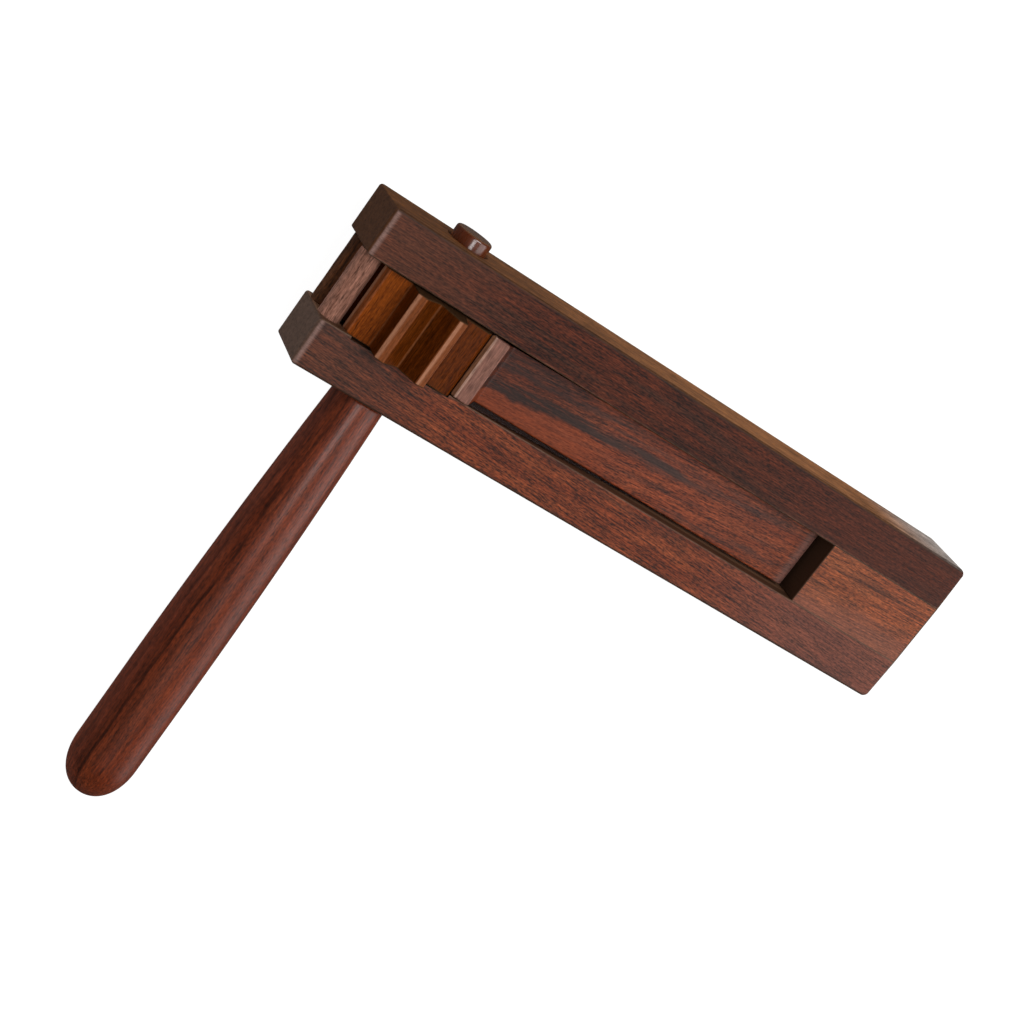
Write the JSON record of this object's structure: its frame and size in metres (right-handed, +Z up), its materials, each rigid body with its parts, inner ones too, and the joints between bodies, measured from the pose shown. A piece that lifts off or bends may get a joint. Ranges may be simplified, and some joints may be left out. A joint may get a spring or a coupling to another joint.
{
  "type": "ratchet rattle",
  "caption": "Wooden ratchet rattle: a two-bar frame swings round a toothed cog on a turned handle, and a springy tongue clacks over the teeth.",
  "frame": {"origin": "centre of the bounding box on the floor, under the rattle lying on its back on the cog's teeth", "axes": "+X along the frame to the end block, +Y along the axle from the grip to the peg, +Z up out of the frame's front"},
  "size_m": [0.241, 0.217, 0.0428],
  "materials": {
    "upper_bar": "satin, dark purplish brown",
    "lower_bar": "satin, reddish brown",
    "end_block": "satin, orange brown with fine grain",
    "front_dowel": "satin, pinkish tan",
    "rear_dowel": "satin, dark orange brown",
    "handle": "polished, red brown with dark streaks",
    "cog": "varnished, orange brown",
    "tongue": "satin, red with dark streaks"
  },
  "bodies": {
    "frame": {"upper_bar": "upper_bar", "lower_bar": "lower_bar", "end_block": "end_block", "front_dowel": "front_dowel", "rear_dowel": "rear_dowel", "tongue_root": "tongue"},
    "handle": {"handle": "handle", "cog": "cog"},
    "tongue": {"tongue": "tongue"}
  },
  "joints": [
    {"name": "handle_spin", "type": "hinge", "parent": "frame", "child": "handle", "pos_m": [-0.0913, 0.077, 0.02147], "axis": [0, 1, 0], "continuous": true},
    {"name": "tongue_flex", "type": "hinge", "parent": "frame", "child": "tongue", "pos_m": [0.0687, 0.077, 0.02147], "axis": [0, 1, 0], "range_deg": [0, 1.5], "stiffness_Nm_per_rad": 60}
  ]
}
